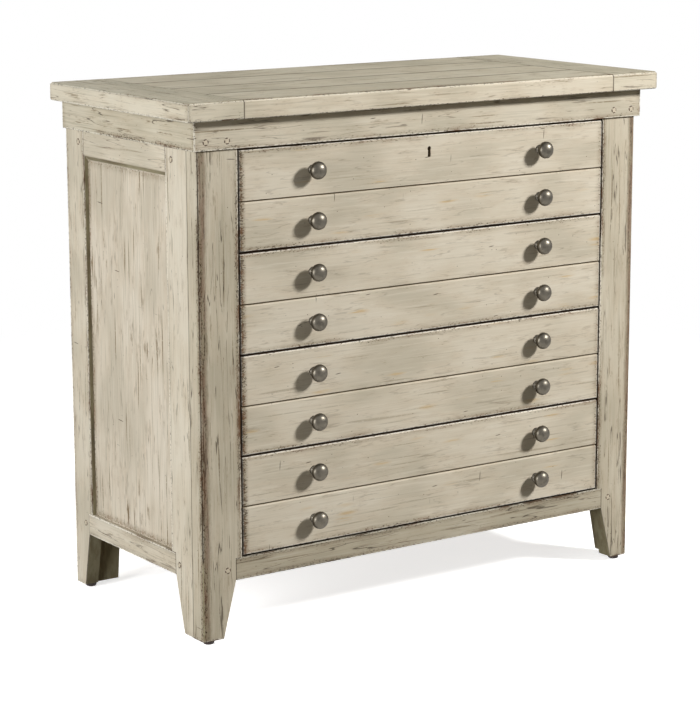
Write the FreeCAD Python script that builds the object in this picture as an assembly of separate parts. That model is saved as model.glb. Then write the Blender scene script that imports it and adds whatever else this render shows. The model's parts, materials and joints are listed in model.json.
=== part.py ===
import FreeCAD, Part
import math
import os

# A floor-standing painted chest with four drawers. Each drawer front is scored to look like two.
# Units are millimetres, +Z is up, the drawers face -Y, and the origin is under the middle of the
# chest at floor level. Lengths below are worked out with the front plane of the case at Y = 0,
# and write_part moves every piece back to the middle.
os.makedirs("parts", exist_ok=True)

# Top board
top_width = 914.0
top_depth = 433.0
top_thickness = 28.6
overall_height = 844.0
top_overhang_side = 27.5
top_overhang_front = 23.5
top_overhang_back = 3.0
top_end_width = 97.5
top_plank_count = 4
top_corner_radius = 6.0
top_edge_bevel = 3.2
top_under_bevel = 1.8
top_tongue_length = 20.0
top_tongue_thickness = 9.5
top_tongue_stop = 14.0
seam_half_width = 0.9

# Frieze, the boards round the case under the top
frieze_height = 46.0
frieze_front_thickness = 26.0
frieze_side_thickness = 18.0
frieze_front_proud = 4.0
frieze_side_proud = 6.0

# Legs, made as stiles that run from the top down to the feet
front_board_thickness = 30.0
side_board_thickness = 24.0
back_board_thickness = 24.0
front_stile_width = 71.5
side_front_stile_width = 92.0
side_rear_stile_width = 57.0
back_stile_width = 71.0
front_foot_width = 37.0
side_front_foot_width = 57.0
side_rear_foot_width = 28.0
back_foot_width = 65.0
leg_corner_radius = 8.0
glide_height = 8.0
glide_radius = 9.0
glide_edge = 2.8
glide_inset = 18.0
glide_pin_radius = 2.5
glide_pin_length = 16.0

# Rails between the legs
rail_clear_height = 98.5
rail_height = 35.5
rail_lap = 11.5
front_rail_thickness = 24.0
tenon_thickness = 8.0
tenon_length = 28.0
tenon_shoulder = 6.0
side_top_rail_height = 38.0
panel_bevel_height = 10.0
panel_recess = 8.0
panel_thickness = 8.0
panel_groove_depth = 8.0
back_top_rail_height = 54.0
back_panel_thickness = 6.0
back_rebate = 9.0
bottom_panel_thickness = 6.0
bottom_panel_drop = 14.0
bottom_panel_groove = 6.0
top_rail_depth = 62.0
top_rail_thickness = 20.0

# Wooden pegs that lock the joints
peg_radius = 4.8
peg_length = 20.0
peg_proud = 0.4
frieze_peg_inset = 20.0
frieze_peg_spacing = 37.5
frieze_peg_height = 13.0
front_peg_inset = 14.5
side_peg_inset = 11.0

# Drawers
drawer_count = 4
drawer_gap = 2.5
drawer_side_gap = 2.0
drawer_front_thickness = 20.0
front_bevel = 2.6
score_width = 1.6
score_depth = 4.0
box_lift = 12.0
box_drop = 25.7
box_rear_gap = 12.5
box_wall = 12.0
box_floor_thickness = 6.0
box_floor_lift = 9.0
box_groove_depth = 6.0
dovetail_pitch = 39.0
dovetail_slope = 0.16

# Knobs and their screws
knob_spread = 223.0
knob_radius = 14.0
knob_projection = 27.0
knob_base_radius = 7.5
knob_base_height = 2.0
knob_neck_radius = 5.4
knob_neck_distance = 6.6
knob_flare_radius = 12.3
knob_flare_distance = 12.7
knob_rim_distance = 17.2
knob_dome_steps = 3
knob_dome_angle = 80.0
knob_screw_radius = 2.0
knob_screw_grip = 9.0
screw_head_radius = 4.2
screw_head_height = 2.4

# Ball bearing slides at the drawer sides
slide_thickness = 12.7
slide_height = 35.0
slide_setback = 4.0
slide_rear_setback = 1.0
slide_overlap = 85.0
slide_steel = 1.2
race_height = 6.8
race_lip = 2.0
slide_face_gap = 3.2
mount_height = 44.0
cage_steel = 0.9

# Keyhole and lock of the top drawer
keyhole_drop = 22.5
keyhole_radius = 3.5
keyhole_slot_width = 4.6
keyhole_foot_width = 6.0
keyhole_height = 17.0
lock_width = 50.0
lock_height = 44.0
lock_depth = 11.5
lock_plate = 3.0
bolt_width = 24.0
bolt_thickness = 6.0
bolt_leg_width = 5.0
bolt_travel = 7.0
bolt_guided_height = 5.0

# Flat sides of the small round pieces
knob_facets = 14
rod_facets = 8

# Clearances, how far a cutting shape runs past the face it opens, and a hair's width for finding edges
running_gap = 0.3
joint_gap = 0.2
panel_play = 1.0
overcut = 1.0
hair = 0.01

# Levels and planes that follow from the sizes
case_width = top_width - 2 * top_overhang_side
case_depth = top_depth - top_overhang_front - top_overhang_back
case_half = case_width / 2
top_underside = overall_height - top_thickness
frieze_bottom = top_underside - frieze_height
rail_bottom = rail_clear_height
rail_top = rail_bottom + rail_height
side_inner = case_half - side_board_thickness
opening_half = case_half - front_stile_width
rail_half = opening_half + rail_lap
back_inner = case_depth - back_board_thickness
back_half = case_half - back_stile_width
side_rail_front = side_front_stile_width - rail_lap
side_rail_rear = case_depth - side_rear_stile_width + rail_lap
panel_front = side_front_stile_width
panel_rear = case_depth - side_rear_stile_width
panel_top = frieze_bottom - side_top_rail_height - panel_bevel_height
panel_outer = case_half - panel_recess
panel_inner = panel_outer - panel_thickness
opening_height = frieze_bottom - rail_top
front_height = (opening_height - (drawer_count + 1) * drawer_gap) / drawer_count
front_half = opening_half - drawer_side_gap
box_half = opening_half - slide_thickness
box_height = front_height - box_lift - box_drop
box_front = drawer_front_thickness
box_rear = back_inner - box_rear_gap
slide_front = box_front + slide_setback
slide_rear = box_rear - slide_rear_setback
slide_travel = slide_rear - slide_front - slide_overlap
front_reach = max(top_overhang_front, knob_projection)
middle = (case_depth + top_overhang_back - front_reach) / 2


def box(x0, x1, y0, y1, z0, z1):
    return Part.makeBox(x1 - x0, y1 - y0, z1 - z0, FreeCAD.Vector(x0, y0, z0))


def sheet(points):
    return Part.Face(Part.makePolygon(points + points[:1]))


def prism_along_x(outline, x0, x1):
    """Extrudes an outline of (y, z) points from x0 to x1."""
    face = sheet([FreeCAD.Vector(x0, y, z) for y, z in outline])
    return face.extrude(FreeCAD.Vector(x1 - x0, 0, 0))


def prism_along_y(outline, y0, y1):
    """Extrudes an outline of (x, z) points from y0 to y1."""
    face = sheet([FreeCAD.Vector(x, y0, z) for x, z in outline])
    return face.extrude(FreeCAD.Vector(0, y1 - y0, 0))


def prism_along_z(outline, z0, z1):
    """Extrudes an outline of (x, y) points from z0 to z1."""
    face = sheet([FreeCAD.Vector(x, y, z0) for x, y in outline])
    return face.extrude(FreeCAD.Vector(0, 0, z1 - z0))


def turned(profile, facets):
    """A turned piece on the Z axis from (radius, height) pairs, given flat sides to keep it light."""
    rings = []
    for radius, height in profile:
        angles = [2 * math.pi * (i + 0.5) / facets for i in range(facets)]
        rings.append([FreeCAD.Vector(radius * math.cos(a), radius * math.sin(a), height) for a in angles])
    faces = [sheet(rings[0]), sheet(rings[-1])]
    for low, high in zip(rings, rings[1:]):
        for i in range(facets):
            j = (i + 1) % facets
            faces.append(sheet([low[i], low[j], high[j], high[i]]))
    solid = Part.Solid(Part.Shell(faces))
    if solid.Volume < 0:
        solid.reverse()
    return solid


def place(solid, direction, x, y, z):
    """Turns a piece made along +Z to point along direction, and moves its foot to (x, y, z)."""
    turn = FreeCAD.Rotation(FreeCAD.Vector(0, 0, 1), FreeCAD.Vector(*direction))
    solid.Placement = FreeCAD.Placement(FreeCAD.Vector(x, y, z), turn)
    return solid


def rod(radius, length, direction, x, y, z, facets):
    return place(turned([(radius, 0), (radius, length)], facets), direction, x, y, z)


def rod_along_x(radius, x0, x1, y, z):
    return rod(radius, x1 - x0, (1, 0, 0), x0, y, z, rod_facets)


def rod_along_y(radius, x, y0, y1, z):
    return rod(radius, y1 - y0, (0, 1, 0), x, y0, z, rod_facets)


def right_of(left_shape):
    """The mirror image of a left-hand piece."""
    return left_shape.mirror(FreeCAD.Vector(0, 0, 0), FreeCAD.Vector(1, 0, 0))


def both_sides(left_shapes):
    return left_shapes + [right_of(shape) for shape in left_shapes]


def cut_all(shape, tools):
    for tool in tools:
        shape = shape.cut(tool)
    return shape


def fuse_all(shapes):
    result = shapes[0]
    for shape in shapes[1:]:
        result = result.fuse(shape)
    return result.removeSplitter()


def write_part(name, solids):
    """Moves a node's solids to the chest's middle and writes them as one STEP file."""
    moved = []
    for shape in solids:
        for solid in shape.Solids:
            copy = solid.copy()
            copy.translate(FreeCAD.Vector(0, -middle, 0))
            moved.append(copy)
    whole = moved[0] if len(moved) == 1 else Part.makeCompound(moved)
    whole.exportStep("parts/" + name + ".step")


# Top: long planks between two cross ends, joined by a stopped tongue and groove
top_front = -top_overhang_front
top_back = case_depth + top_overhang_back
field_half = top_width / 2 - top_end_width
plank_width = top_depth / top_plank_count
tongue_bottom = top_underside + (top_thickness - top_tongue_thickness) / 2
tongue_top = tongue_bottom + top_tongue_thickness
tongue_front = top_front + top_tongue_stop
tongue_back = top_back - top_tongue_stop


def edges_where(shape, test):
    return [edge for edge in shape.Edges if test(edge.BoundBox)]


def rounded_top_blank():
    """The whole top as one slab, with rounded corners and bevelled edges."""
    slab = box(-top_width / 2, top_width / 2, top_front, top_back, top_underside, overall_height)
    slab = slab.makeFillet(top_corner_radius, edges_where(slab, lambda b: b.ZLength > top_thickness / 2))
    upper = edges_where(slab, lambda b: b.ZMin > overall_height - hair)
    slab = slab.makeChamfer(top_edge_bevel, upper)
    lower = edges_where(slab, lambda b: b.ZMax < top_underside + hair)
    return slab.makeChamfer(top_under_bevel, lower)


def seam_outline(across):
    """A V with square sides, as deep as it is half wide, whose middle lies at a distance across the top."""
    reach = seam_half_width + overcut
    return [(across - reach, overall_height + overcut), (across, overall_height - seam_half_width),
            (across + reach, overall_height + overcut)]


def scored_top():
    """The slab with a fine V along every seam."""
    tools = [prism_along_y(seam_outline(x), top_front - overcut, top_back + overcut)
             for x in (-field_half, field_half)]
    tools += [prism_along_x(seam_outline(top_front + i * plank_width), -field_half, field_half)
              for i in range(1, top_plank_count)]
    return cut_all(rounded_top_blank(), tools)


def top_plank(slab, index):
    y0 = top_front + index * plank_width
    y1 = y0 + plank_width
    body = slab.common(box(-field_half, field_half, y0, y1, top_underside, overall_height))
    tongue = box(-field_half - top_tongue_length, field_half + top_tongue_length,
                 max(y0, tongue_front), min(y1, tongue_back), tongue_bottom, tongue_top)
    return fuse_all([body, tongue])


def top_end_left(slab):
    end = slab.common(box(-top_width / 2, -field_half, top_front, top_back, top_underside, overall_height))
    groove = box(-field_half - top_tongue_length - panel_play, -field_half,
                 tongue_front - joint_gap, tongue_back + joint_gap, tongue_bottom, tongue_top)
    return end.cut(groove)


slab = scored_top()
end_left = top_end_left(slab)
write_part("top_planks", [top_plank(slab, i) for i in range(top_plank_count)])
write_part("top_end_left", [end_left])
write_part("top_end_right", [right_of(end_left)])

# Frieze: three boards mitred at the front corners and let into the legs
frieze_outer = case_half + frieze_side_proud
frieze_inner = frieze_outer - frieze_side_thickness
frieze_face = -frieze_front_proud
frieze_rear = frieze_face + frieze_front_thickness


def frieze_front_blank():
    return prism_along_z([(-frieze_outer, frieze_face), (frieze_outer, frieze_face),
                          (frieze_inner, frieze_rear), (-frieze_inner, frieze_rear)],
                         frieze_bottom, top_underside)


def frieze_left_blank():
    return prism_along_z([(-frieze_outer, frieze_face), (-frieze_inner, frieze_rear),
                          (-frieze_inner, case_depth), (-frieze_outer, case_depth)],
                         frieze_bottom, top_underside)


def frieze_peg_places():
    places = []
    for k in range(2):
        x = frieze_outer - frieze_peg_inset - k * frieze_peg_spacing
        places += [-x, x]
    return places


def bore_y(x, z, y0, y1):
    return rod_along_y(peg_radius + joint_gap, x, y0, y1, z)


frieze_peg_z = frieze_bottom + frieze_peg_height
frieze_bores = [bore_y(x, frieze_peg_z, frieze_face - overcut, frieze_face + peg_length + joint_gap)
                for x in frieze_peg_places()]
frieze_tools = [frieze_front_blank(), frieze_left_blank(), right_of(frieze_left_blank())]
write_part("frieze_front", [cut_all(frieze_front_blank(), frieze_bores)])
write_part("frieze_left", [frieze_left_blank()])
write_part("frieze_right", [right_of(frieze_left_blank())])

# Pegs through the tenons. Their bores are cut from the legs and the tenons alike.
rail_middle = (rail_bottom + rail_top) / 2
side_top_rail_middle = frieze_bottom - side_top_rail_height / 2
front_peg_x = rail_half + front_peg_inset
front_bore = bore_y(-front_peg_x, rail_middle, -overcut, peg_length + joint_gap)


def side_peg_places():
    """Heights and depths of the four pegs in the left side."""
    return [(side_rail_front - side_peg_inset, rail_middle),
            (side_rail_rear + side_peg_inset, rail_middle),
            (panel_front - side_peg_inset - rail_lap / 2, side_top_rail_middle),
            (panel_rear + side_peg_inset + rail_lap / 2, side_top_rail_middle)]


side_bores = [rod_along_x(peg_radius + joint_gap, -case_half - overcut,
                          -case_half + peg_length + joint_gap, y, z)
              for y, z in side_peg_places()]


def peg_solids():
    pegs = [rod_along_y(peg_radius, x, frieze_face - peg_proud, frieze_face + peg_length, frieze_peg_z)
            for x in frieze_peg_places()]
    pegs += [rod_along_y(peg_radius, side * front_peg_x, -peg_proud, peg_length, rail_middle)
             for side in (-1, 1)]
    left = [rod_along_x(peg_radius, -case_half - peg_proud, -case_half + peg_length, y, z)
            for y, z in side_peg_places()]
    return pegs + both_sides(left)


write_part("pegs", peg_solids())

# Glides under the feet: a cap with a rounded lower edge, on a pin
glide_x = case_half - glide_inset
glide_front_y = front_board_thickness / 2
glide_rear_y = case_depth - side_rear_foot_width / 2


def glide(x, y):
    top = glide_height + glide_pin_length
    eased = glide_edge * (1 - math.sqrt(0.5))
    profile = [(glide_radius - glide_edge, 0), (glide_radius - eased, eased),
               (glide_radius, glide_edge), (glide_radius, glide_height),
               (glide_pin_radius, glide_height), (glide_pin_radius, top)]
    return place(turned(profile, knob_facets), (0, 0, 1), x, y, 0)


def glide_bore(x, y):
    return rod(glide_pin_radius + joint_gap, glide_pin_length + overcut + joint_gap, (0, 0, 1),
               x, y, glide_height - overcut, knob_facets)


write_part("glides", both_sides([glide(-glide_x, glide_front_y), glide(-glide_x, glide_rear_y)]))
glide_bores = [glide_bore(-glide_x, glide_front_y), glide_bore(-glide_x, glide_rear_y)]

# Tenons. A mortise is the tenon's own shape with clearance at its end.
tenon_bottom = rail_bottom + tenon_shoulder
tenon_top = rail_top - tenon_shoulder
front_tenon_y = (front_rail_thickness - tenon_thickness) / 2


def front_tenon(play):
    """The left tenon of the bottom front rail."""
    return box(-rail_half - tenon_length - play, -rail_half, front_tenon_y, front_tenon_y + tenon_thickness,
               tenon_bottom - play, tenon_top + play)


def back_tenon(play, z0, z1):
    """A left tenon of a back rail."""
    y0 = back_inner + (back_board_thickness - back_panel_thickness - tenon_thickness) / 2
    return box(-back_half - tenon_length - play, -back_half, y0, y0 + tenon_thickness,
               z0 + tenon_shoulder - play, z1 - tenon_shoulder + play)


def side_tenons(play, y0, y1, z0, z1):
    """The two tenons of a left side rail between y0 and y1."""
    return [box(-panel_outer, -panel_inner, y0 - tenon_length - play, y0, z0 - play, z1 + play),
            box(-panel_outer, -panel_inner, y1, y1 + tenon_length + play, z0 - play, z1 + play)]


def side_bottom_tenons(play):
    return side_tenons(play, side_rail_front, side_rail_rear, tenon_bottom, tenon_top)


def side_top_tenons(play):
    return side_tenons(play, panel_front, panel_rear, panel_top + panel_bevel_height + tenon_shoulder,
                       frieze_bottom - tenon_shoulder)


# Panels in the sides, the back and the bottom
def side_panel(play):
    """The left side panel. Its edges run into the grooves, less some play."""
    depth = panel_groove_depth - play
    return box(-panel_outer, -panel_inner, panel_front - depth, panel_rear + depth,
               rail_top - depth, panel_top + depth)


def back_panel(play):
    reach = back_rebate - play
    return box(-back_half - reach, back_half + reach, case_depth - back_panel_thickness, case_depth,
               rail_top - reach, top_underside - back_top_rail_height + reach)


def bottom_panel():
    """The dust bottom, notched round the legs and let into the rails."""
    reach = bottom_panel_groove - joint_gap
    z1 = rail_top - bottom_panel_drop
    half = [(-rail_half, front_rail_thickness - reach), (-rail_half, front_board_thickness),
            (-side_inner, front_board_thickness), (-side_inner, side_rail_front),
            (-side_inner - reach, side_rail_front), (-side_inner - reach, side_rail_rear),
            (-side_inner, side_rail_rear), (-side_inner, back_inner),
            (-back_half, back_inner), (-back_half, back_inner + reach)]
    outline = half + [(-x, y) for x, y in reversed(half)]
    return prism_along_z(outline, z1 - bottom_panel_thickness, z1)


def bottom_panel_slot():
    """The groove for the dust bottom, cut from all four bottom rails."""
    z1 = rail_top - bottom_panel_drop
    reach = bottom_panel_groove
    return box(-side_inner - reach, side_inner + reach, front_rail_thickness - reach, back_inner + reach,
               z1 - bottom_panel_thickness, z1)


panel_left = side_panel(panel_play)
write_part("side_panel_left", [panel_left])
write_part("side_panel_right", [right_of(panel_left)])
write_part("back_panel", [back_panel(panel_play)])
write_part("bottom_panel", [bottom_panel()])


# Legs
def front_board():
    """The front half of the left front leg, with its rounded corner and tapered foot."""
    x = -case_half
    outline = [(x, glide_height), (x + front_foot_width, glide_height), (-rail_half, rail_bottom),
               (-rail_half, rail_top), (-opening_half, rail_top), (-opening_half, top_underside),
               (x, top_underside)]
    board = prism_along_y(outline, 0, front_board_thickness)
    corner = edges_where(board, lambda b: b.XMax < x + hair and b.YMax < hair and b.ZLength > hair)
    board = board.makeFillet(leg_corner_radius, corner)
    own_tools = [front_tenon(joint_gap), front_bore, glide_bores[0]]
    return cut_all(board, frieze_tools + own_tools + frieze_bores)


def side_stile(outline):
    """A side board of a left leg from its (y, z) outline, grooved for the panel."""
    board = prism_along_x(outline, -case_half, -side_inner)
    mortises = side_bottom_tenons(joint_gap) + side_top_tenons(joint_gap)
    return cut_all(board, frieze_tools + [side_panel(0)] + mortises + side_bores + glide_bores)


def side_stile_front():
    y = front_board_thickness
    outline = [(y, glide_height), (side_front_foot_width, glide_height), (side_rail_front, rail_bottom),
               (side_rail_front, rail_top), (panel_front, rail_top), (panel_front, top_underside),
               (y, top_underside)]
    return side_stile(outline)


def side_stile_rear():
    y = case_depth
    outline = [(y, glide_height), (y - side_rear_foot_width, glide_height), (side_rail_rear, rail_bottom),
               (side_rail_rear, rail_top), (panel_rear, rail_top), (panel_rear, top_underside),
               (y, top_underside)]
    return side_stile(outline)


def back_stile():
    """The back board of the left rear leg, inside its side board."""
    outline = [(-side_inner, glide_height), (-case_half + back_foot_width, glide_height),
               (-back_half, rail_bottom), (-back_half, top_underside), (-side_inner, top_underside)]
    board = prism_along_y(outline, back_inner, case_depth)
    mortises = [back_tenon(joint_gap, rail_bottom, rail_top),
                back_tenon(joint_gap, top_underside - back_top_rail_height, top_underside)]
    return cut_all(board, [back_panel(0)] + mortises)


post_left = front_board()
stile_front_left = side_stile_front()
stile_rear_left = side_stile_rear()
write_part("post_front_left", [post_left])
write_part("post_front_right", [right_of(post_left)])
write_part("side_stile_left_front", [stile_front_left])
write_part("side_stile_right_front", [right_of(stile_front_left)])
write_part("side_stile_left_rear", [stile_rear_left])
write_part("side_stile_right_rear", [right_of(stile_rear_left)])
write_part("back_stiles", both_sides([back_stile()]))


# Rails
def bottom_front_rail():
    rail = box(-rail_half, rail_half, 0, front_rail_thickness, rail_bottom, rail_top)
    rail = fuse_all([rail] + both_sides([front_tenon(0)]))
    return cut_all(rail, [bottom_panel_slot()] + both_sides([front_bore]))


def top_front_rail():
    """A flat rail behind the frieze that carries the top."""
    y0 = frieze_rear
    y1 = front_board_thickness
    y2 = y0 + top_rail_depth
    half = [(-opening_half, y0), (-opening_half, y1), (-side_inner, y1), (-side_inner, y2)]
    outline = half + [(-x, y) for x, y in reversed(half)]
    return prism_along_z(outline, top_underside - top_rail_thickness, top_underside)


def side_bottom_rail():
    rail = box(-case_half, -side_inner, side_rail_front, side_rail_rear, rail_bottom, rail_top)
    rail = fuse_all([rail] + side_bottom_tenons(0))
    return cut_all(rail, [side_panel(0), bottom_panel_slot()] + side_bores)


def side_top_rail():
    """The rail over the left panel, bevelled down to the panel and let behind the frieze."""
    outline = [(-case_half, top_underside), (-case_half, panel_top + panel_bevel_height),
               (-panel_outer, panel_top), (-side_inner, panel_top), (-side_inner, top_underside)]
    rail = prism_along_y(outline, panel_front, panel_rear)
    rail = cut_all(rail, [frieze_left_blank(), side_panel(0)])
    rail = fuse_all([rail] + side_top_tenons(0))
    return cut_all(rail, side_bores)


def back_rail(z0, z1):
    rail = box(-back_half, back_half, back_inner, case_depth, z0, z1)
    rail = fuse_all([rail] + both_sides([back_tenon(0, z0, z1)]))
    return cut_all(rail, [back_panel(0), bottom_panel_slot()])


rails_left = [side_bottom_rail(), side_top_rail()]
write_part("bottom_front_rail", [bottom_front_rail()])
write_part("top_front_rail", [top_front_rail()])
write_part("side_rails_left", rails_left)
write_part("side_rails_right", [right_of(rail) for rail in rails_left])
write_part("back_rails", [back_rail(rail_bottom, rail_top),
                          back_rail(top_underside - back_top_rail_height, top_underside)])


# The top drawer is made in full. The others are the same pieces, one pitch lower each time.
drawer_pitch = front_height + drawer_gap
front_top = frieze_bottom - drawer_gap
front_bottom = front_top - front_height
box_bottom = front_bottom + box_lift
box_top = box_bottom + box_height
slide_axis = box_bottom + box_height / 2


def lowered(shapes, number):
    """Copies of the top drawer's pieces at the level of another drawer."""
    copies = []
    for shape in shapes:
        copy = shape.copy()
        copy.translate(FreeCAD.Vector(0, 0, -(number - 1) * drawer_pitch))
        copies.append(copy)
    return copies


def for_every_drawer(shapes):
    return [copy for number in range(1, drawer_count + 1) for copy in lowered(shapes, number)]


# Slides: an outer channel on the case, a cage for the balls, and an inner channel on the drawer
outer_half = slide_height / 2
outer_reach = slide_thickness - slide_face_gap
lip_half = outer_half - slide_steel - race_lip
inner_half = outer_half - slide_steel - race_height
cage_inner = slide_steel + running_gap
cage_outer = cage_inner + cage_steel
cage_half = inner_half + (race_height + cage_steel) / 2
cage_arm = outer_reach - slide_steel - running_gap
cage_front = slide_front + slide_travel / 2
cage_rear = slide_rear - slide_travel / 2


def slide_member(upper, y0, y1):
    """Extrudes a left slide member from half its section, which is the same below the slide's axis.

    The points give the distance from the mount and the height over the axis.
    """
    section = upper + [(u, -v) for u, v in reversed(upper)]
    return prism_along_y([(-opening_half + u, slide_axis + v) for u, v in section], y0, y1)


def outer_member():
    hook = outer_reach - slide_steel
    return slide_member([(0, outer_half), (outer_reach, outer_half), (outer_reach, lip_half),
                         (hook, lip_half), (hook, outer_half - slide_steel),
                         (slide_steel, outer_half - slide_steel)],
                        slide_front, slide_rear)


def inner_member():
    open_end = cage_outer + running_gap
    return slide_member([(slide_thickness, inner_half), (open_end, inner_half),
                         (open_end, inner_half - slide_steel),
                         (slide_thickness - slide_steel, inner_half - slide_steel)],
                        slide_front, slide_rear)


def ball_cage():
    """A strip between the channels whose bent edges run in the two races."""
    return slide_member([(cage_inner, cage_half), (cage_arm, cage_half), (cage_arm, cage_half - cage_steel),
                         (cage_outer, cage_half - cage_steel)],
                        cage_front, cage_rear)


def slide_mount():
    """The block that brings a slide out flush with the edge of the opening."""
    return box(-side_inner, -opening_half, front_board_thickness, back_inner,
               slide_axis - mount_height / 2, slide_axis + mount_height / 2)


write_part("slide_mounts", for_every_drawer(both_sides([slide_mount()])))
write_part("slide_outer_members", for_every_drawer(both_sides([outer_member()])))


# Drawer box, dovetailed at all four corners
def tails(y_end, y_shoulder):
    """Tails that reach from the shoulder of the left side to its end, widening on the way.

    At the shoulder a tail is as wide as the space beside it.
    """
    count = max(1, round(box_height / dovetail_pitch))
    pitch = box_height / count
    half_root = pitch / 4
    half_tip = half_root + dovetail_slope * box_wall
    shapes = []
    for i in range(count):
        z = box_bottom + (i + 0.5) * pitch
        outline = [(y_shoulder, z - half_root), (y_shoulder, z + half_root),
                   (y_end, z + half_tip), (y_end, z - half_tip)]
        shapes.append(prism_along_x(outline, -box_half, -box_half + box_wall))
    return shapes


left_tails = tails(box_front, box_front + box_wall) + tails(box_rear, box_rear - box_wall)


def box_floor(play):
    """The drawer bottom, which sits in a groove all round."""
    reach = box_groove_depth - play
    inner = box_half - box_wall
    z0 = box_bottom + box_floor_lift
    return box(-inner - reach, inner + reach, box_front + box_wall - reach, box_rear - box_wall + reach,
               z0, z0 + box_floor_thickness)


def box_side():
    board = box(-box_half, -box_half + box_wall, box_front + box_wall, box_rear - box_wall,
                box_bottom, box_top)
    return fuse_all([board] + left_tails).cut(box_floor(0))


def box_end(y0):
    """The inner front or the back of the box."""
    board = box(-box_half, box_half, y0, y0 + box_wall, box_bottom, box_top)
    return cut_all(board, both_sides(left_tails) + [box_floor(0)])


# Each knob stands in the middle of one half of the scored front
knob_places = [(side * knob_spread, front_bottom + quarter * front_height / 4)
               for quarter in (1, 3) for side in (-1, 1)]
screw_bores = [rod_along_y(knob_screw_radius + joint_gap, x, -overcut, box_front + box_wall + overcut, z)
               for x, z in knob_places]


def drawer_front():
    """A one-piece front, bevelled along its top and scored across the middle to look like two."""
    middle_z = (front_bottom + front_top) / 2
    score_bottom = middle_z - score_width
    outline = [(0, front_bottom), (0, score_bottom - front_bevel), (front_bevel, score_bottom),
               (score_depth, score_bottom), (score_depth, middle_z), (0, middle_z),
               (0, front_top - front_bevel), (front_bevel, front_top),
               (drawer_front_thickness, front_top), (drawer_front_thickness, front_bottom)]
    return cut_all(prism_along_x(outline, -front_half, front_half), screw_bores)


def knob(x, z):
    """A mushroom knob: a low collar, a waisted neck and a domed head, bored for its screw."""
    profile = [(knob_base_radius, 0), (knob_base_radius, knob_base_height),
               (knob_neck_radius, knob_neck_distance), (knob_flare_radius, knob_flare_distance)]
    end = math.radians(knob_dome_angle)
    rise = (knob_projection - knob_rim_distance) / math.sin(end)
    for step in range(knob_dome_steps + 1):
        angle = end * step / knob_dome_steps
        profile.append((knob_radius * math.cos(angle), knob_rim_distance + rise * math.sin(angle)))
    solid = place(turned(profile, knob_facets), (0, -1, 0), x, 0, z)
    return solid.cut(rod_along_y(knob_screw_radius + joint_gap, x, -knob_screw_grip, overcut, z))


def knob_screw(x, z):
    seat = box_front + box_wall
    shank = rod_along_y(knob_screw_radius, x, -knob_screw_grip + joint_gap, seat, z)
    head = rod_along_y(screw_head_radius, x, seat, seat + screw_head_height, z)
    return fuse_all([shank, head])


# Keyhole and lock of the top drawer
keyhole_z = front_top - keyhole_drop
keyhole_foot = keyhole_z + keyhole_radius - keyhole_height
lock_top = front_top - joint_gap
lock_bottom = lock_top - lock_height
bolt_front = box_front + lock_plate
bolt_rear = bolt_front + bolt_thickness
bolt_floor = lock_bottom + lock_plate
bolt_head_foot = lock_top - bolt_travel - bolt_guided_height


def keyhole(y0, y1):
    """A round eye over a slot that widens a little at its foot."""
    eye = Part.makeCylinder(keyhole_radius, y1 - y0, FreeCAD.Vector(0, y0, keyhole_z),
                            FreeCAD.Vector(0, 1, 0))
    slot = [(-keyhole_slot_width / 2, keyhole_z), (-keyhole_foot_width / 2, keyhole_foot),
            (keyhole_foot_width / 2, keyhole_foot), (keyhole_slot_width / 2, keyhole_z)]
    return fuse_all([eye, prism_along_y(slot, y0, y1)])


def lock_case():
    body = box(-lock_width / 2, lock_width / 2, box_front, box_front + lock_depth, lock_bottom, lock_top)
    channel = box(-bolt_width / 2 - running_gap, bolt_width / 2 + running_gap,
                  bolt_front - running_gap, bolt_rear + running_gap,
                  bolt_floor - running_gap, lock_top + overcut)
    return cut_all(body, [channel, keyhole(box_front - overcut, bolt_front)])


def lock_bolt():
    """A flat bolt on two legs. The key works between the legs and lifts the head.

    The head stays guided by the case when the bolt is up, behind the frieze.
    """
    plate = box(-bolt_width / 2, bolt_width / 2, bolt_front, bolt_rear, bolt_floor, lock_top)
    gap_half = bolt_width / 2 - bolt_leg_width
    key_room = box(-gap_half, gap_half, bolt_front - overcut, bolt_rear + overcut,
                   bolt_floor - overcut, bolt_head_foot)
    return plate.cut(key_room)


def lock_notch():
    """The room that the lock case takes from the inner front."""
    return box(-lock_width / 2 - joint_gap, lock_width / 2 + joint_gap, box_front - overcut,
               box_front + box_wall + overcut, lock_bottom - joint_gap, lock_top + overcut)


front = drawer_front()
sides = both_sides([box_side()])
inner_front = cut_all(box_end(box_front), screw_bores)
box_back = box_end(box_rear - box_wall)
knobs = [knob(x, z) for x, z in knob_places]
screws = [knob_screw(x, z) for x, z in knob_places]
inner_members = both_sides([inner_member()])
cages = both_sides([ball_cage()])
for number in range(1, drawer_count + 1):
    name = "drawer_%d_" % number
    has_lock = number == 1
    own_front = front.cut(keyhole(-overcut, box_front + overcut)) if has_lock else front
    own_inner_front = inner_front.cut(lock_notch()) if has_lock else inner_front
    write_part(name + "front", lowered([own_front], number))
    write_part(name + "sides", lowered(sides, number))
    write_part(name + "ends", lowered([own_inner_front, box_back], number))
    write_part(name + "bottom", lowered([box_floor(joint_gap)], number))
    write_part(name + "knobs", lowered(knobs, number))
    write_part(name + "knob_screws", lowered(screws, number))
    write_part(name + "slide_inner_members", lowered(inner_members, number))
    write_part(name + "slide_cages", lowered(cages, number))

write_part("lock_case", [lock_case()])
write_part("lock_bolt", [lock_bolt()])
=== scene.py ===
import json
import math
import random

import bmesh
import bpy
from bpy.props import FloatProperty, FloatVectorProperty, IntProperty, PointerProperty
from mathutils import Matrix, Vector


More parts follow.
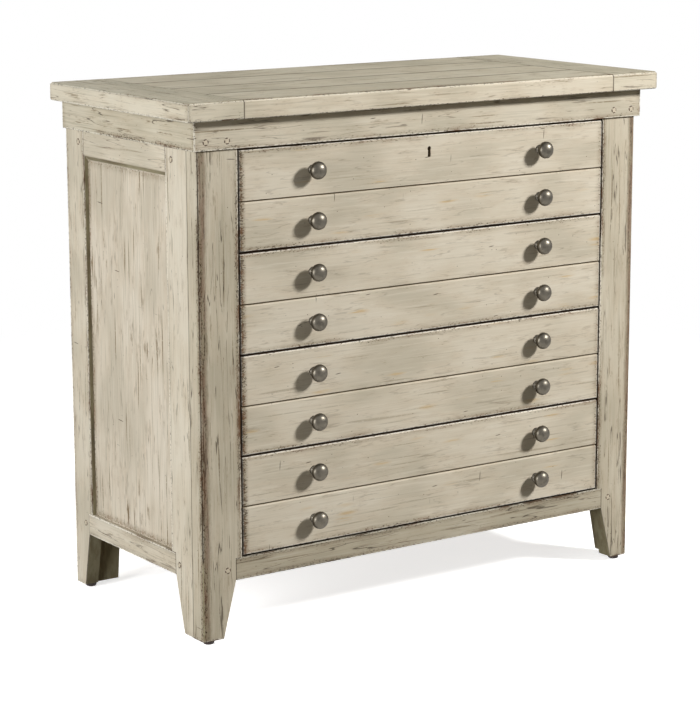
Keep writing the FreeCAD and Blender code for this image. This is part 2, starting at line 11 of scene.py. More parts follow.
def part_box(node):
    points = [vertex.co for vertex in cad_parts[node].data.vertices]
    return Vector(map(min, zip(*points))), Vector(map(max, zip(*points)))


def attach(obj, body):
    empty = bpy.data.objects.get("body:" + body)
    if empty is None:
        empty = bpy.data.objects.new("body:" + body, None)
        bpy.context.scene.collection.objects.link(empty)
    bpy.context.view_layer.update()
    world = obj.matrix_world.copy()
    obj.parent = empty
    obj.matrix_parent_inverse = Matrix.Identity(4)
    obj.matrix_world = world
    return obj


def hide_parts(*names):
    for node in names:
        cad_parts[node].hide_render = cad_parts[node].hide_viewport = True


bl_info = {
    "name": "Bachelor chest",
    "version": (1, 0, 0),
    "blender": (4, 5, 0),
    "location": "View3D > Sidebar > Chest",
    "description": "Dresses the painted chest: worn boards, turned knobs, pegs, drawer boxes and slides",
    "category": "Object",
}

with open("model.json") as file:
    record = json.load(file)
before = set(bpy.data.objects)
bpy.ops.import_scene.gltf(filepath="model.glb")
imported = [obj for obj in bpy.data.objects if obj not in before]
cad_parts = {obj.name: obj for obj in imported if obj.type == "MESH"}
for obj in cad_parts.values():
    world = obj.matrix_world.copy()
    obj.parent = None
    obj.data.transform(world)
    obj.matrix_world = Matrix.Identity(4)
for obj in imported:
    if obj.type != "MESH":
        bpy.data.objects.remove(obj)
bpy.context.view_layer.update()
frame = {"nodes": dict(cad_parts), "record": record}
MM = 0.001
MICRONS = 1e6  # in a metre
AXES = {"X": 0, "Y": 1, "Z": 2}
MIRRORED = {"-X": "+X", "+X": "-X"}
DRAWERS = (1, 2, 3, 4)
PLANKS = 4
BETWEEN_RAILS = 0.4  # metres, a level between the lower and the upper rails

FAR = 300.0  # millimetres put on the distance to a side that doesn't count
SKIN = 0.2 * MM  # how far under a face its board is looked for
HAIRLINE = 0.05 * MM  # an edge nearer than this to a glued side lies in it
FLAT_ANGLE = math.radians(0.5)  # faces that bend less than this become one
ROUND_ANGLE = 0.6  # radians: a board's edges that bend more are rounded
ROUND_STEPS = 3
SHARP_ANGLE = math.radians(38.0)  # edges that bend more are shaded sharp
SEED_SPAN = 900.0  # millimetres over which the boards' patterns are scattered

# Turned profiles: radius and height in millimetres, from the foot up
KNOB_STEM = ((7.5, 0.0), (7.5, 1.4), (7.1, 2.0), (6.2, 2.6), (5.6, 4.2), (5.4, 6.6), (6.2, 8.8),
             (8.6, 10.9), (12.3, 12.7), (13.4, 14.0), (13.95, 15.6), (14.0, 17.2))
KNOB_TIP = 27.0
KNOB_CAP_STEPS = 9
GLIDE = ((0.0, 0.0), (6.2, 0.0), (7.6, 0.5), (8.6, 1.6), (9.0, 2.8), (9.0, 7.2), (8.7, 7.8),
         (8.3, 8.0), (2.5, 8.0), (2.5, 23.4), (2.1, 24.0), (0.0, 24.0))
GLIDE_SEGMENTS = 40
PEG_PROUD = 0.4  # millimetres that a peg stands out of the wood
PEG_RIM = 1.5  # millimetres of a peg's face that count as its rim
PEG_SEGMENTS = 36

PLY_GRAIN = 0.6  # strength of the grain in plywood's veneer
WHITE = (1.0, 1.0, 1.0, 1.0)
FLOOR_REACH = 9.0  # metres from the floor's middle to its edges
FLOOR_CELLS = 24
FLOOR_ROUGHNESS = 0.9
FLOOR_GLOW = 0.68  # share of white that the floor shows by itself
FLOOR_BOUNCE = (0.11, 0.10, 0.08, 1.0)  # the floor as the lamps' light finds it
ROOM_LIGHT = (1.0, 0.93, 0.77, 1.0)
ROOM_STRENGTH = 0.15
# Place in metres, power in watts, width in metres and colour
LAMPS = {
    "Key lamp": ((2.32, -2.56, 2.38), 176.0, 0.65, (1.0, 0.99, 0.975)),
    "Left fill": ((-3.4, -0.4, 1.0), 98.0, 2.2, (0.99, 0.995, 1.0)),
    "Back fill": ((0.8, 4.4, 0.9), 130.0, 1.6, (1.0, 0.99, 0.98)),
}
LAMP_AIM = (0.0, 0.0, 0.42)
CAMERA_PLACE = (-2.303, -3.306, 1.2055)
CAMERA_TURN = (78.41, 0.16, -34.64)  # degrees
CAMERA_NEAR = 0.05  # metres


def shade(red, green, blue):
    """The linear colour of a paint chip read as 0 to 255 on the sRGB curve."""
    chip = (red / 255.0, green / 255.0, blue / 255.0)
    return tuple(c / 12.92 if c <= 0.04045 else ((c + 0.055) / 1.055) ** 2.4 for c in chip)


def swatch(name, description, chip):
    return FloatVectorProperty(name=name, description=description, default=shade(*chip), size=3,
                               min=0.0, max=1.0, subtype="COLOR")


def length(name, description, millimetres):
    return FloatProperty(name=name, description=description, default=millimetres * MM, min=0.0,
                         unit="LENGTH", precision=4)


class ChestSizes(bpy.types.PropertyGroup):
    """Sizes of the dressed pieces."""

    board_edge: length("Board edge", "Rounding of every board's edges", 0.9)
    top_edge: length("Top edge", "Rounding of the edges of the top", 1.5)
    drawer_edge: length("Drawer edge", "Rounding of the edges of the drawer fronts", 1.3)
    tongue: length("Tongue", "Length of the planks' ends that is hidden in the cross ends", 20.0)
    tenon: length("Tenon", "Length of the rails' ends that is hidden in the posts", 28.0)
    panel_groove: length("Panel groove", "Depth of the groove that hides a panel's edge", 8.0)
    knob_segments: IntProperty(name="Knob segments", description="Sides of a turned knob",
                               default=56, min=12)
    peg_radius: length("Peg radius", "Radius of a wooden peg", 4.8)
    peg_ring: length("Peg ring", "Width of the worn ring round a peg", 0.4)
    foot: length("Foot", "Length of the legs below the lowest rails", 126.0)
    camera_lens: FloatProperty(name="Camera lens", description="Focal length of the camera",
                               default=124.6, min=20.0, unit="CAMERA")


class ChestColours(bpy.types.PropertyGroup):
    """Colours of the finishes."""

    paint: swatch("Paint", "Milk paint of the case and the drawers", (209, 199, 179))
    paint_light: swatch("Light paint", "Paint where it is rubbed thin and bright", (229, 223, 208))
    paint_warm: swatch("Warm paint", "Paint with a warmer cast in patches", (204, 189, 166))
    paint_grey: swatch("Grey paint", "Greyed paint in the hollows of the grain", (178, 170, 150))
    # Arris is a painted highlight: the bright line laid along the boards' edges
    arris: swatch("Arris", "Bare bright line along the rubbed edges", (247, 241, 226))
    glaze: swatch("Glaze", "Brown glaze left in the grain and along the edges", (126, 110, 84))
    umber: swatch("Umber", "Dark stain under the paint", (56, 43, 31))
    # Gap is painted shade, partly stain: the near-black that faces deep in the gaps and recesses take
    gap: swatch("Gap", "Nearly black painted shade and stain in the gaps and recesses", (28, 18, 10))
    russet: swatch("Russet", "Red-brown wood that shows at the worn edges", (112, 80, 56))
    ochre: swatch("Ochre", "Yellow rub marks on the drawers", (198, 166, 112))
    hollow: swatch("Hollow", "Thin wash on the inner faces of the legs", (180, 172, 140))
    pewter: swatch("Pewter", "Burnished metal of the knobs", (98, 93, 84))
    bare_wood: swatch("Bare wood", "Lacquered wood of the drawer boxes", (204, 168, 122))
    soft_wood: swatch("Softwood", "Bare wood of the hidden blocks and rail", (198, 166, 122))
    ply: swatch("Plywood", "Veneer of the bottoms and the back", (190, 158, 120))
    zinc: swatch("Zinc", "Plated steel of the slides and screws", (176, 178, 180))
    brass: swatch("Brass", "Dull brass of the lock", (168, 142, 88))
    glide: swatch("Glide", "Moulded glides under the feet", (44, 30, 26))
    floor: swatch("Floor", "Pale floor", (242, 242, 242))


def maths(operation, reflected=False):
    """A method of Value that adds a Math node, which takes the value itself last where reflected."""
    def method(self, *others):
        values = (*others, self) if reflected else (self, *others)
        return self.recipe.node("ShaderNodeMath", {"operation": operation}, dict(enumerate(values)))
    return method


class Value:
    """A number, colour or vector from a node's socket. Python arithmetic on it adds Math nodes."""

    __add__, __radd__ = maths("ADD"), maths("ADD", reflected=True)
    __sub__, __rsub__ = maths("SUBTRACT"), maths("SUBTRACT", reflected=True)
    __mul__, __rmul__ = maths("MULTIPLY"), maths("MULTIPLY", reflected=True)
    __truediv__, __rtruediv__ = maths("DIVIDE"), maths("DIVIDE", reflected=True)
    __pow__, __abs__ = maths("POWER"), maths("ABSOLUTE")
    lower, higher = maths("MINIMUM"), maths("MAXIMUM")

    def __init__(self, recipe, socket):
        self.recipe = recipe
        self.socket = socket

    def slope(self, *limits):
        """A soft slope, from limits that are its start and end and the results at both."""
        settings = {"interpolation_type": "SMOOTHSTEP"}
        return self.recipe.node("ShaderNodeMapRange", settings, dict(enumerate((self, *limits))))

    def rise(self, start, end):
        """0 below start and 1 above end, with a soft slope between them."""
        return self.slope(start, end, 0.0, 1.0)

    def fall(self, start, end):
        """1 below start and 0 above end, with a soft slope between them."""
        return self.slope(start, end, 1.0, 0.0)

    def parts(self):
        """The three numbers of a vector."""
        first = self.recipe.node("ShaderNodeSeparateXYZ", {}, {0: self})
        return [Value(self.recipe, socket) for socket in first.socket.node.outputs]


class Recipe:
    """A material, or a world, written as expressions on its nodes' values."""

    def __init__(self, name, world=None):
        self.material = world or bpy.data.materials.new(name)
        self.material.use_nodes = True
        self.tree = self.material.node_tree
        self.tree.nodes.clear()
        self.output = "ShaderNodeOutputWorld" if world else "ShaderNodeOutputMaterial"

    def node(self, kind, settings=None, sockets=None, output=0):
        """Adds a node of a kind, with its settings first and then its sockets' values or links.

        The result is the value of one of its outputs, where it has any.
        """
        node = self.tree.nodes.new(kind)
        for key, value in (settings or {}).items():
            setattr(node, key, value)
        for key, value in (sockets or {}).items():
            if isinstance(value, Value):
                self.tree.links.new(value.socket, node.inputs[key])
            else:
                node.inputs[key].default_value = value
        return Value(self, node.outputs[output]) if len(node.outputs) else None

    def attribute(self, name):
        return self.node("ShaderNodeAttribute", {"attribute_name": name}, output="Vector")

    def place(self):
        """The point on the piece in its own space, in millimetres."""
        return self.counted(self.node("ShaderNodeTexCoord", output="Object"), (MM, MM, MM))

    def vector(self, operation, *values):
        return self.node("ShaderNodeVectorMath", {"operation": operation}, dict(enumerate(values)))

    def counted(self, vector, size):
        """The vector counted in steps of size on each axis."""
        return self.vector("MULTIPLY", vector, [1.0 / s for s in size])

    def unless(self, distance, flag):
        """Distances from three sides, those whose flag is 1 made far."""
        return self.vector("MULTIPLY_ADD", flag, (FAR, FAR, FAR), distance)

    def where(self, distance, flag):
        """Distances from three sides, those whose flag is 0 made far."""
        less = self.vector("MULTIPLY_ADD", flag, (-FAR, -FAR, -FAR), self.vector("ABSOLUTE", distance))
        return self.vector("ADD", less, (FAR, FAR, FAR))

    def nearest(self, low, high, broad=1.0):
        """The smallest of six distances, those across the board counted as broad times shorter."""
        x, y, z = self.vector("MINIMUM", low, high).parts()
        return x.lower(y / broad).lower(z)

    def joined(self, x, y, z):
        return self.node("ShaderNodeCombineXYZ", {}, {0: x, 1: y, 2: z})

    def leaning(self, vector, angle):
        """The vector turned a little, so that what follows it doesn't run straight with the grain."""
        return self.node("ShaderNodeVectorRotate", {},
                         {"Vector": vector, "Axis": (0.2, 0.7, 0.7), "Angle": angle})

    def noise(self, vector, size, detail=2.0, rough=0.5, warp=0.0):
        """Noise whose grains are size long on each axis, in the vector's own unit."""
        return self.node("ShaderNodeTexNoise", {},
                         {"Vector": self.counted(vector, size), "Scale": 1.0, "Detail": detail,
                          "Roughness": rough, "Distortion": warp})

    def scattered(self, vector, size, fade, chosen):
        """Marks round points scattered about size apart, which fade out between two shares of size.

        Only a point whose random number, from 0 to 1, is above the two of chosen has a mark.
        """
        sockets = {"Vector": self.counted(vector, size), "Scale": 1.0}
        near = self.node("ShaderNodeTexVoronoi", {}, sockets, output="Distance")
        number = Value(self, near.socket.node.outputs["Color"]).parts()[0]
        return near.fall(*fade) * number.rise(*chosen)

    def mix(self, mask, under, over, blend="MIX"):
        """One colour laid over another where the mask is 1."""
        def colour(value):
            return value if isinstance(value, Value) else (*value[:3], 1.0)
        sockets = {0: mask, 6: colour(under), 7: colour(over)}
        return self.node("ShaderNodeMix", {"data_type": "RGBA", "blend_type": blend}, sockets, output=2)

    def bump(self, height, depth, strength):
        sockets = {"Height": height, "Distance": depth, "Strength": strength}
        return self.node("ShaderNodeBump", {}, sockets)

    def shader(self, kind, colour, amount):
        """A plain shader from its first two sockets, a colour and its roughness or strength."""
        return self.node("ShaderNode" + kind, {}, {0: colour, 1: amount})

    def surface(self, sockets):
        """Ends the material in one Principled shader with these sockets."""
        return self.finish(self.node("ShaderNodeBsdfPrincipled", {}, sockets))

    def finish(self, shader):
        self.node(self.output, {}, {"Surface": shader})
        return self.material

    def seen(self):
        """1 for what the camera sees straight, in a mirror or through glass, and 0 for other light."""
        straight, glossy, through = [self.node("ShaderNodeLightPath", output=name) for name in
                                     ("Is Camera Ray", "Is Glossy Ray", "Is Transmission Ray")]
        return straight.higher(glossy).higher(through)


class Spot:
    """What the paint knows of a spot on a board: distances to its sides in millimetres, and noises.

    Broad is how many times wider all of it is across the board.
    """

    def __init__(self, recipe, broad):
        r = self.recipe = recipe
        self.hues = bpy.context.scene.chest_colours
        low, high = r.attribute("from_low"), r.attribute("from_high")
        glued_low, glued_high = r.attribute("glued_low"), r.attribute("glued_high")
        self.outer_low = r.where(low, r.attribute("outer_low"))
        self.outer_high = r.where(high, r.attribute("outer_high"))
        self.seam = r.nearest(r.where(low, glued_low), r.where(high, glued_high), broad)
        self.depth = r.nearest(self.outer_low, self.outer_high)
        self.low_ends, low_sides, self.low_faces = r.unless(low, glued_low).parts()
        self.high_ends, high_sides, self.high_faces = r.unless(high, glued_high).parts()
        ends = self.ends = self.low_ends.lower(self.high_ends)
        sides = low_sides.lower(high_sides)
        faces = self.faces = self.low_faces.lower(self.high_faces)
        self.edge = ends.lower(sides).higher(ends.higher(sides).lower(faces))
        self.across = (sides / broad).higher(faces)
        if broad > 1.0:  # a broad board's narrow sides get no soil
            self.across = self.across + faces.rise(0.8, 2.0) * 40.0

        along, beside, through = r.attribute("board_place").parts()
        board = self.board = r.mix(ends.fall(0.02, 0.1), r.joined(along, beside / broad, through),
                                   r.joined(beside, along, through))
        self.clouds = r.noise(board, (170.0, 80.0, 80.0))
        self.patches = r.noise(board, (42.0, 12.0, 12.0), detail=4.0, rough=0.62)
        self.crumbs = r.noise(board, (4.2, 1.8, 1.8), detail=3.0, rough=0.62)
        self.streaks = r.noise(board, (95.0, 2.6, 2.6), detail=4.0, rough=0.62)
        self.dashes = r.noise(board, (15.0, 0.9, 0.9), rough=0.55)
        self.strokes = r.noise(board, (150.0, 4.6, 4.6), detail=1.0)
        self.veins = r.noise(board, (230.0, 11.0, 11.0), rough=0.4)


def coats(at, streaky, dashed):
    """Milk paint in warmer, greyer and lighter patches, and the brown that stays in its grain."""
    hues = at.hues
    smears = (at.streaks * 0.6 + at.patches * 0.55).rise(0.645, 0.76) * at.clouds.fall(0.42, 0.62)
    layers = [  # where a layer shows, how strong it is there, and its colour
        (at.patches.rise(0.34, 0.70), 0.45, hues.paint_warm),
        (at.clouds.rise(0.46, 0.66), 0.50, hues.paint_grey),
        (at.clouds.fall(0.36, 0.50), 0.22, hues.paint_light),
        (at.streaks.fall(0.34, 0.50), 0.34 * streaky, hues.paint_grey),
        (at.streaks.rise(0.52, 0.68), 0.26, hues.paint_light),
        (at.dashes.fall(0.31, 0.39) * at.patches.rise(0.48, 0.62), 0.85 * dashed, hues.glaze),
        (at.strokes.rise(0.64, 0.76) * at.crumbs.rise(0.28, 0.48), 0.72 * streaky, hues.glaze),
        (smears, 0.70 * streaky, hues.glaze),
    ]
    paint = hues.paint
    for mask, strength, colour in layers:
        paint = at.recipe.mix(mask * strength, paint, colour)
    return paint


def with_rubs(at, paint):
    """The paint with yellow rub marks that run with the grain."""
    place = at.recipe.vector("ADD", at.board, (31.0, 17.0, 5.0))
    rubs = at.recipe.scattered(place, (70.0, 13.0, 13.0), fade=(0.04, 0.40), chosen=(0.84, 0.86))
    return at.recipe.mix(rubs * at.streaks.rise(0.42, 0.56) * 0.70, paint, at.hues.ochre)


def soil_along(at, low_soil, high_soil, side_soil):
    """Where brown glaze was left along a board's low end, its high end and its long sides."""
    low_band = at.low_ends.rise(0.3, 0.9) * at.low_ends.fall(1.0, 14.0) * low_soil
    high_band = at.high_ends.rise(0.3, 0.9) * at.high_ends.fall(1.0, 14.0) * high_soil
    side_band = at.across.fall(0.5, 11.0) * at.clouds.rise(0.28, 0.56) * side_soil
    return low_band.higher(high_band).higher(side_band)


def with_dark_corner(at, paint, corner):
    """The paint with a ragged dark strip beside the board's outer edge."""
    r, hues = at.recipe, at.hues
    ragged = (at.patches - 0.5) * 14.0 + (at.crumbs - 0.5) * 7.0 + (at.clouds - 0.5) * 14.0
    beyond = at.outer_low.parts()[1].lower(at.outer_high.parts()[1]) + ragged
    strip = beyond.fall(9.0, 17.0) * at.low_faces.fall(0.6, 2.0) * corner
    brown = r.mix(at.patches.rise(0.42, 0.56), hues.glaze, hues.russet)
    dabs = (at.crumbs * 0.5 + at.streaks * 0.5).rise(0.50, 0.60)
    paint = r.mix(strip * (0.30 + at.streaks * 0.8), paint, brown)
    return r.mix(strip * dabs * 0.75, paint, hues.umber)


def marks_in(at, cracks):
    """Cracks that run with the grain, specks, and thin cuts nearly along and across it."""
    r, board = at.recipe, at.board
    splits = abs(at.veins - 0.5).fall(0.003, 0.012) * at.patches.rise(0.42, 0.52) * cracks
    specks = r.scattered(board, (10.0, 8.0, 8.0), fade=(0.06, 0.11), chosen=(0.86, 0.865))
    nicks = r.scattered(r.leaning(board, 0.14), (120.0, 9.5, 9.5), fade=(0.05, 0.09),
                        chosen=(0.84, 0.845))
    chops = r.scattered(r.leaning(board, -0.10), (11.0, 120.0, 120.0), fade=(0.05, 0.085),
                        chosen=(0.81, 0.815))
    return (specks.higher(nicks) * 0.8).higher(chops * 0.75).higher(splits * 0.7)


def recess_shade_and_stain(at, groove, pale, foot):
    """Nearly black painted shade, partly stain, for gaps and recesses; glazed in a scored groove and washed
    on the legs' inner faces.
    """
    r, hues = at.recipe, at.hues
    stain = r.mix(at.streaks.rise(0.40, 0.62) * 0.3, hues.gap, hues.russet)
    if groove:
        scored = at.depth.fall(groove, groove + 1.2) * at.faces.rise(8.0, 10.0) * at.ends.rise(0.3, 0.9)
        stain = r.mix(at.depth.rise(3.0, 8.0) * (0.35 + at.streaks * 0.6), stain, hues.russet)
        stain = r.mix(scored * 0.8, stain, hues.glaze)
    wash = r.mix(at.patches.rise(0.40, 0.62) * 0.5, hues.hollow, hues.glaze)
    stain = r.mix((at.clouds.rise(0.34, 0.60) * 0.75 + 0.25) * pale, stain, wash)
    if foot:
        stain = r.mix(at.low_ends.fall(foot - 4.0, foot + 4.0), stain, wash)
    return stain


def painted_wood(name, wear=1.0, arris=1.0, streaky=1.0, dashed=0.8, cracks=1.0, low_soil=0.3,
                 high_soil=0.3, side_soil=0.4, corner=0.0, seams=1.0, broad=1.0, foot=0.0, groove=0.0,
                 pale=0.0, tint=(1.0, 1.0, 1.0), upper=None):
    """Worn milk paint over brown stain, which follows each board's own grain and edges.

    Wear is how wide the edges are rubbed, and arris how strongly they are rubbed and how bright the
    painted highlight along them is. Streaky, dashed and cracks are the strength of the long brown
    streaks, of the short ones in the grain and of the cracks. Soil is the brown glaze left along a
    board's low end, high end and long sides, and corner how dark the strip beside an outer edge is.
    Seams and broad widen the dark lines where boards meet, and what is seen at a slant. Foot is the
    length of the low end whose inner faces have a wash, and groove the depth down to which a hollow
    is only glazed instead of taking the near-black painted shade of the recesses. Pale is how much
    the wash covers that painted shade and stain in the recesses. Tint is laid over all of it, and
    upper over the face that looks up, as painted shade that makes it darker than the sides.
    """
    r = Recipe(name)
    at = Spot(r, broad)
    hues = at.hues
    paint = coats(at, streaky, dashed)
    if groove:
        paint = with_rubs(at, paint)
    soil = soil_along(at, low_soil, high_soil, side_soil)
    grime = r.mix(at.patches.rise(0.48, 0.62) * 0.8, hues.glaze, hues.russet)
    paint = r.mix(soil * (at.patches + at.crumbs * 0.9 - 0.1), paint, grime)
    if corner:
        paint = with_dark_corner(at, paint, corner)

    fringe = (soil * 0.62).higher(at.edge.fall(0.0, 5.5 * wear) * 0.36)
    flecks = (at.crumbs + fringe * 0.36).rise(0.65, 0.70) * fringe.rise(0.02, 0.16)
    reach = (at.clouds.rise(0.44, 0.66) * 2.6 + 0.9) * (at.patches * 2.4 - 0.72) * wear
    rubbed = (reach - at.edge).rise(0.0, 0.9) * arris
    # Painted highlight: a bright line along the edges that aren't rubbed through, for the light that the
    # rounded edges catch
    bright = at.edge.fall(1.0, 2.8) * (1.0 - rubbed) * arris
    marks = marks_in(at, cracks)
    stain = r.mix(at.patches.rise(0.40, 0.64) * 0.8, hues.umber, hues.russet)
    worn = r.mix(bright * 0.7, paint, hues.arris)
    worn = r.mix((rubbed * 0.85).higher(flecks * 0.72), worn, stain)
    worn = r.mix(marks, worn, hues.umber)
    dark = at.seam.fall(0.35 * seams, 1.3 * seams) * (0.50 + at.patches * 0.6)
    worn = r.mix(dark, worn, hues.umber)
    # Painted shade: a near-black line along a drawer front's ends and bottom edge widens the shadow of the
    # gaps round it
    if groove:
        rim = at.ends.fall(0.9, 2.4).higher(at.low_faces.fall(0.6, 1.9))
        worn = r.mix(rim * 0.85, worn, hues.gap)
    # Painted shade: faces more than about 2 mm in from a board's outer faces, in the gaps and recesses,
    # take the near-black recess colour
    recess = at.depth.rise(1.4, 2.2)
    worn = r.mix(recess * 0.95, worn, recess_shade_and_stain(at, groove, pale, foot))
    worn = r.mix(1.0, worn, tint, blend="MULTIPLY")
    # Painted shade: upper darkens the face that looks up, as less light falls on it than on the sides
    if upper:
        worn = r.mix(at.high_faces.fall(0.5, 1.6), worn, upper, blend="MULTIPLY")

    height = at.streaks * 0.6 + at.patches * 0.4 - rubbed * 0.8 - flecks * 0.5 - marks * 1.2
    gloss = 0.58 + at.patches * 0.18 + rubbed * 0.1 + recess * 0.25
    return r.surface({"Base Color": worn, "Roughness": gloss, "Normal": r.bump(height, 0.3 * MM, 0.6),
                      "Specular IOR Level": 0.12})


def toned(colour, gain, lift=0.0):
    """A colour made lighter or darker in every channel."""
    return tuple(min(1.0, c * gain + lift) for c in colour)


def grained_wood(name, colour, axis, coarse=1.0, lacquer=0.0):
    """Bare or lacquered wood with its grain along one axis."""
    def grain(along, across):
        return [along if i == AXES[axis] else across for i in range(3)]
    r = Recipe(name)
    place = r.place()
    rings = r.noise(place, grain(240.0, 9.0), detail=3.0, rough=0.55, warp=0.4)
    pores = r.noise(place, grain(34.0, 0.9), rough=0.6)
    clouds = r.noise(place, (130.0, 130.0, 130.0), detail=1.0)
    bands = r.noise(place, grain(72.0, 2.7), detail=3.0, rough=0.6)
    dark = tuple(c * s for c, s in zip(colour, (0.66, 0.58, 0.50)))
    wood = r.mix(rings.rise(0.40, 0.70) * 0.7, colour, dark)
    wood = r.mix(bands.rise(0.46, 0.66) * 0.4, wood, dark)
    wood = r.mix(rings.fall(0.30, 0.44) * 0.8, wood, toned(colour, 1.12))
    wood = r.mix(pores.fall(0.30, 0.44) * (0.55 * coarse), wood, dark)
    wood = r.mix(clouds.rise(0.4, 0.7) * 0.25, wood, dark)
    height = rings * 0.3 + pores
    return r.surface({"Base Color": wood, "Roughness": 0.52 + pores * 0.2 - 0.16 * lacquer,
                      "Normal": r.bump(height, 0.12 * MM * coarse, 0.5),
                      "Coat Weight": 0.35 * lacquer})


def worn_metal(name, colour, rough, brushed=(2.0, 2.0, 2.0)):
    """Metal with fine scratches, dull spots and a darker cast in places."""
    r = Recipe(name)
    place = r.place()
    clouds = r.noise(place, (9.0, 9.0, 9.0), detail=3.0, rough=0.6)
    lines = r.noise(place, brushed, detail=3.0, rough=0.7)
    pits = r.noise(place, (1.1, 1.1, 1.1))
    dark = toned(colour, 0.45)
    metal = r.mix(clouds.rise(0.40, 0.72) * 0.6, colour, dark)
    metal = r.mix(lines.rise(0.56, 0.74) * 0.5, metal, toned(colour, 1.35))
    metal = r.mix(pits.fall(0.28, 0.36) * 0.3, metal, dark)
    gloss = rough + clouds * 0.18 - lines * 0.06
    return r.surface({"Base Color": metal, "Metallic": 1.0, "Roughness": gloss,
                      "Normal": r.bump(lines * 0.6 + pits * 0.4, 0.06 * MM, 0.4)})


def moulded_plastic(name, colour):
    """Dark moulded plastic with a fine texture and scuffs."""
    r = Recipe(name)
    place = r.place()
    texture = r.noise(place, (0.7, 0.7, 0.7))
    scuffs = r.noise(place, (6.0, 6.0, 2.0), detail=4.0, rough=0.65)
    plastic = r.mix(scuffs.rise(0.55, 0.72) * 0.6, colour, toned(colour, 2.2, lift=0.01))
    return r.surface({"Base Color": plastic, "Roughness": 0.42 + scuffs * 0.25,
                      "Normal": r.bump(texture, 0.08 * MM, 0.5)})


def peg_paint(hues):
    """Paint on the pegs, worn to the stain in broken arcs round the rim."""
    r = Recipe("Worn paint on the pegs")
    place = r.place()
    crumbs = r.noise(place, (2.2, 2.2, 2.2), detail=3.0)
    arcs = r.noise(place, (6.0, 6.0, 6.0))
    across, up, rim = r.attribute("ring").parts()
    angle = r.node("ShaderNodeMath", {"operation": "ARCTAN2"}, {0: up, 1: across})
    quarters = abs(r.node("ShaderNodeMath", {"operation": "SINE"}, {0: angle * 2.0 + arcs * 2.5}))
    paint = r.mix(crumbs.rise(0.3, 0.6) * 0.7, hues.paint_warm, hues.paint_grey)
    stain = r.mix(arcs * 0.4, hues.umber, hues.russet)
    worn = r.mix(rim * (quarters + crumbs * 0.3).rise(0.55, 0.70), paint, stain)
    return r.surface({"Base Color": worn, "Roughness": 0.5 + crumbs * 0.2,
                      "Normal": r.bump(crumbs, 0.2 * MM, 0.5)})


def body_of(node):
    """The name of the body that carries a CAD node."""
    for body, nodes in frame["record"]["behaviour"]["bodies"].items():
        if node in nodes:
            return body
    raise RuntimeError("no body carries " + node)


def slot_of(node):
    """The record's material slot of a CAD node."""
    for part in frame["record"]["subparts"]:
        if part["node"] == node:
            return part["material_slot"]
    raise RuntimeError("no slot for " + node)


def new_piece(name, mesh, body, slot, *nodes):
    """Puts a finished mesh in the scene as a piece that rides on a body and stands for CAD nodes."""
    piece = bpy.data.objects.new(name, mesh)
    bpy.context.scene.collection.objects.link(piece)
    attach(piece, body)
    if nodes:
        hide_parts(*nodes)
    return piece


def finish_node(node, material):
    """Gives a CAD node that keeps its own shape its finish."""
    data = frame["nodes"][node].data
    data.materials.clear()
    data.materials.append(material)


def smooth_mesh(bm, name, material):
    """The finished mesh of bm, smooth but for its sharp edges."""
    mesh = bpy.data.meshes.new(name)
    bm.to_mesh(mesh)
    bm.free()
    mesh.shade_smooth()
    mesh.set_sharp_from_angle(angle=SHARP_ANGLE)
    mesh.materials.append(material)
    return mesh


def box_of(points):
    """The low and the high corner of the box round some points."""
    return [Vector([pick(point[i] for point in points) for i in range(3)]) for pick in (min, max)]


def longest_axis(low, high):
    return max(range(3), key=lambda i: (high - low)[i])


class Timber:
    """A CAD node of one or more boards, and what the dressing has to know of it.

    Glued sides, such as +X, meet another board. Outer sides show, and where none is named all do.
    Hidden is how much of each end lies in another board, on each axis. Split is the axis and the
    levels that part the node's boards, and whether they touch there.
    """

    def __init__(self, node, glued="", outer="", hidden=(0.0, 0.0, 0.0), split=("X", (), False)):
        self.node = node
        self.glued = glued.split()
        self.outer = outer.split()
        self.hidden = hidden
        self.split = split

    def twin(self):
        """The same for the node on the right that mirrors this one on the left."""
        glued, outer = [" ".join(MIRRORED.get(side, side) for side in sides)
                        for sides in (self.glued, self.outer)]
        return Timber(self.node.replace("left", "right"), glued, outer, self.hidden, self.split)


def both_sides(*left):
    return list(left) + [timber.twin() for timber in left]


def boards_of(node, axis, levels):
    """The node's boards, parted at levels of an axis, each as its own bmesh."""
    source = frame["nodes"][node].data
    groups = {}
    for polygon in source.polygons:
        inside = polygon.center - polygon.normal * SKIN
        board = sum(1 for level in levels if inside[AXES[axis]] > level)
        groups.setdefault(board, []).append(polygon)
    for board in sorted(groups):
        bm = bmesh.new()
        corners = {}
        for polygon in groups[board]:
            points = []
            for index in polygon.vertices:
                spot = source.vertices[index].co
                key = tuple(round(c * MICRONS) for c in spot)
                if key not in corners:
                    corners[key] = bm.verts.new(spot)
                points.append(corners[key])
            if len(set(points)) == len(points):
                bm.faces.new(points)
        bmesh.ops.dissolve_limit(bm, angle_limit=FLAT_ANGLE, verts=bm.verts, edges=bm.edges)
        yield bm


